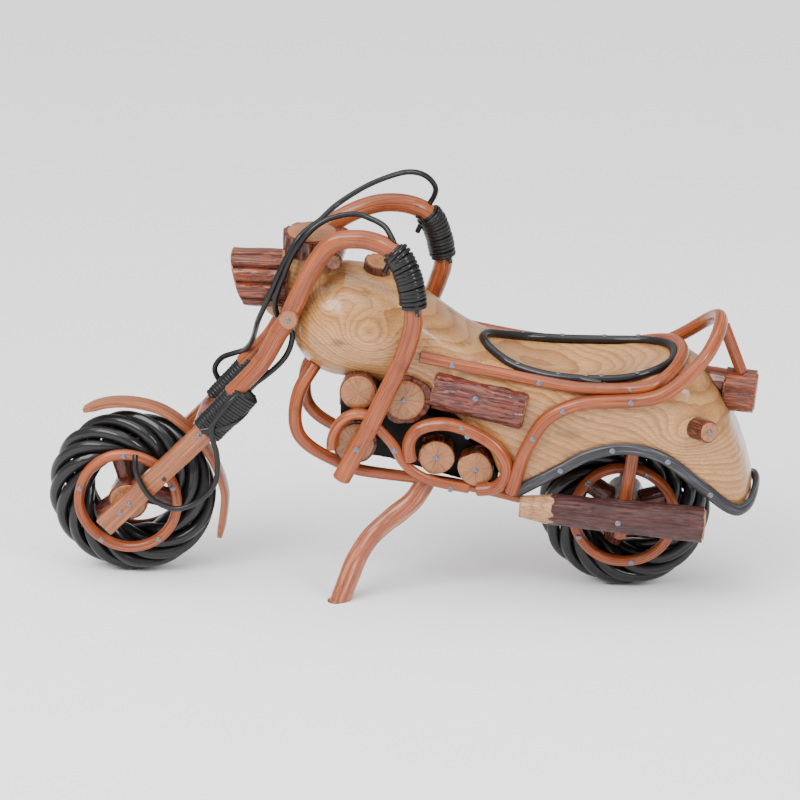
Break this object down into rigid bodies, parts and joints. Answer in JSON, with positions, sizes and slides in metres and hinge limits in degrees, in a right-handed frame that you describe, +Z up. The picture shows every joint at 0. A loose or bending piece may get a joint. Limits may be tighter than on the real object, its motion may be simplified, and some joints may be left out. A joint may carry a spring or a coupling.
{
  "type": "bentwood motorcycle ornament",
  "caption": "Handmade wooden chopper motorcycle ornament of bent cane, bark logs and black reed, leaning on its kickstand, with free-turning wheels.",
  "frame": {"origin": "bottom centre of the whole object's box, on the surface that it stands on", "axes": "+X towards the rear of the bike, +Y towards its right side, +Z up; the bike leans 4 degrees to its left"},
  "size_m": [0.3587, 0.0867, 0.2098],
  "materials": {
    "carved_wood": "glossy clear varnish over light honey wood",
    "slice_wood": "varnished sawn end grain with a thin bark edge",
    "engine_log": "sawn end grain, rings and radial cracks, rough reddish bark rim",
    "bark": "varnished reddish brown bark with lengthwise fissures",
    "fibrous_bark": "dark fibrous bark, pale whittled tip",
    "cane": "glossy reddish orange cane with fine lengthwise lines",
    "flat_stick": "varnished flat stick with straight grain",
    "branch": "peeled reddish branch with pale streaks",
    "black_cane": "black dyed cane, glossy varnish",
    "black_reed": "black dyed reed, satin",
    "black_block": "black painted block, satin",
    "nail_steel": "round polished nail heads"
  },
  "bodies": {
    "frame": {"body": "carved_wood", "fuel_cap": "slice_wood", "headlight": "bark", "head_block": "carved_wood", "speedometer": "slice_wood", "head_peg": "cane", "bar_spacer": "bark", "handlebar_left": "cane", "handlebar_right": "cane", "grip_wrap_left": "black_reed", "grip_wrap_right": "black_reed", "fork_leg_left": "flat_stick", "fork_leg_right": "flat_stick", "fork_cross_stick": "bark", "lashing_left": "black_reed", "lashing_right": "black_reed", "brake_cable_left": "black_reed", "brake_cable_right": "black_reed", "front_fender": "cane", "cradle_left": "cane", "cradle_right": "cane", "engine_block": "black_block", "upper_front_logs": "engine_log", "upper_rear_logs": "engine_log", "lower_front_logs": "engine_log", "case_front_logs": "engine_log", "case_rear_logs": "engine_log", "header_arches": "cane", "case_loop_left": "cane", "case_loop_right": "cane", "braces": "cane", "side_logs": "bark", "kickstand": "branch", "side_rail": "cane", "sissy_bar": "cane", "seat_ring": "black_cane", "fender_trim": "black_cane", "tail_light": "bark", "tail_bracket": "bark", "tail_stay": "cane", "turn_signal_left": "slice_wood", "turn_signal_right": "slice_wood", "muffler": "fibrous_bark", "rear_strut_left": "cane", "rear_strut_right": "cane", "front_axle": "slice_wood", "rear_axle": "slice_wood", "frame_nails": "nail_steel"},
    "front_wheel": {"front_tyre": "black_cane", "front_rims": "cane", "front_hub": "slice_wood", "front_spokes": "bark", "front_wheel_nails": "nail_steel"},
    "rear_wheel": {"rear_tyre": "black_cane", "rear_rims": "cane", "rear_hub": "slice_wood", "rear_spokes": "bark", "rear_wheel_nails": "nail_steel"}
  },
  "joints": [
    {"name": "front_wheel_spin", "type": "hinge", "parent": "frame", "child": "front_wheel", "pos_m": [-0.1363, 0.00624, 0.04292], "axis": [0, 0.9976, 0.0698], "continuous": true},
    {"name": "rear_wheel_spin", "type": "hinge", "parent": "frame", "child": "rear_wheel", "pos_m": [0.1127, 0.00624, 0.04292], "axis": [0, 0.9976, 0.0698], "continuous": true}
  ]
}
